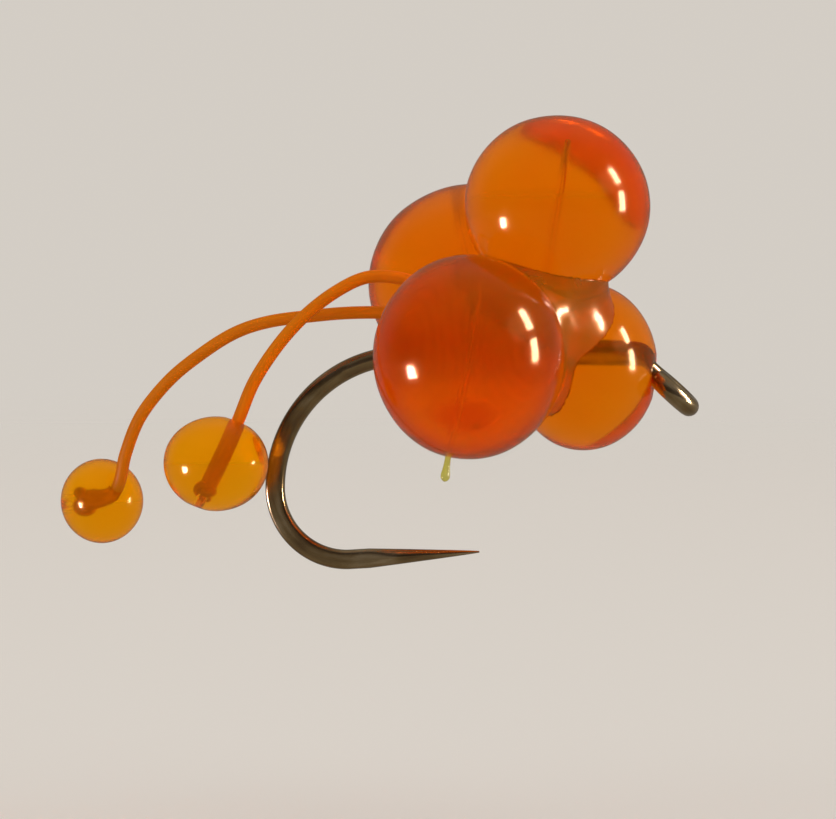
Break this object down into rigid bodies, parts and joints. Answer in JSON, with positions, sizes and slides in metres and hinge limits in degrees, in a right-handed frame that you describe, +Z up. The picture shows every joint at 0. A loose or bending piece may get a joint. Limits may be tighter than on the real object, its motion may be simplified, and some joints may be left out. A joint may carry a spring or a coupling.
{
  "type": "egg cluster fly",
  "caption": "Curved hook carrying a resin-bonded cluster of soft translucent orange eggs, with two elastic tail strands that each end in a small amber egg.",
  "frame": {"origin": "centre of the hook's eye ring", "axes": "+X runs from the bend towards the eye, +Z is up from the point to the shank, and the hook lies in the plane y = 0"},
  "size_m": [0.0225, 0.0146, 0.0157],
  "materials": {
    "bronzed_steel": "bronzed high-carbon steel, glossy lacquer",
    "waxed_thread": "waxed tying thread",
    "soft_orange_egg": "translucent soft plastic, glossy",
    "soft_amber_egg": "translucent soft plastic, glossy",
    "orange_elastic": "satin elastic",
    "olive_monofilament": "clear tinted nylon",
    "clear_resin": "clear cured resin, high gloss"
  },
  "bodies": {
    "cluster": {"hook": "bronzed_steel", "thread_wrap": "waxed_thread", "egg_top": "soft_orange_egg", "egg_near": "soft_orange_egg", "egg_rear": "soft_orange_egg", "egg_lower": "soft_orange_egg", "stalk_top": "olive_monofilament", "stalk_near": "olive_monofilament", "stalk_rear": "olive_monofilament", "resin_core": "clear_resin", "near_strand_root": "orange_elastic", "far_strand_root": "orange_elastic"},
    "near_base": {"near_strand_base": "orange_elastic"},
    "near_tail": {"near_strand_tip": "orange_elastic", "near_small_egg": "soft_amber_egg", "near_stop_knot": "orange_elastic"},
    "far_base": {"far_strand_base": "orange_elastic"},
    "far_middle": {"far_strand_middle": "orange_elastic"},
    "far_tail": {"far_strand_tip": "orange_elastic", "far_small_egg": "soft_amber_egg", "far_stop_knot": "orange_elastic"}
  },
  "joints": [
    {"name": "near_sway", "type": "hinge", "parent": "cluster", "child": "near_base", "pos_m": [-0.00955, -0.00035, 0.00393], "axis": [0, 0, 1], "range_deg": [-3, 35], "stiffness_Nm_per_rad": 0.00002},
    {"name": "near_lift", "type": "hinge", "parent": "near_base", "child": "near_tail", "pos_m": [-0.01349, -0.0012, 0.00166], "axis": [0, 1, 0], "range_deg": [-15, 45], "stiffness_Nm_per_rad": 0.00002},
    {"name": "far_sway", "type": "hinge", "parent": "cluster", "child": "far_base", "pos_m": [-0.01, 0.0003, 0.0027], "axis": [0, 0, 1], "range_deg": [-35, 3], "stiffness_Nm_per_rad": 0.00002},
    {"name": "far_lift", "type": "hinge", "parent": "far_base", "child": "far_middle", "pos_m": [-0.01403, 0.00036, 0.00239], "axis": [0, 1, 0], "range_deg": [-12, 40], "stiffness_Nm_per_rad": 0.00002},
    {"name": "far_curl", "type": "hinge", "parent": "far_middle", "child": "far_tail", "pos_m": [-0.01761, 0.0005, 0.00031], "axis": [0, 1, 0], "range_deg": [-10, 33], "stiffness_Nm_per_rad": 0.00002}
  ],
  "couplings": [
    {"joint": "far_curl", "follows": "far_lift", "ratio": 0.8}
  ]
}
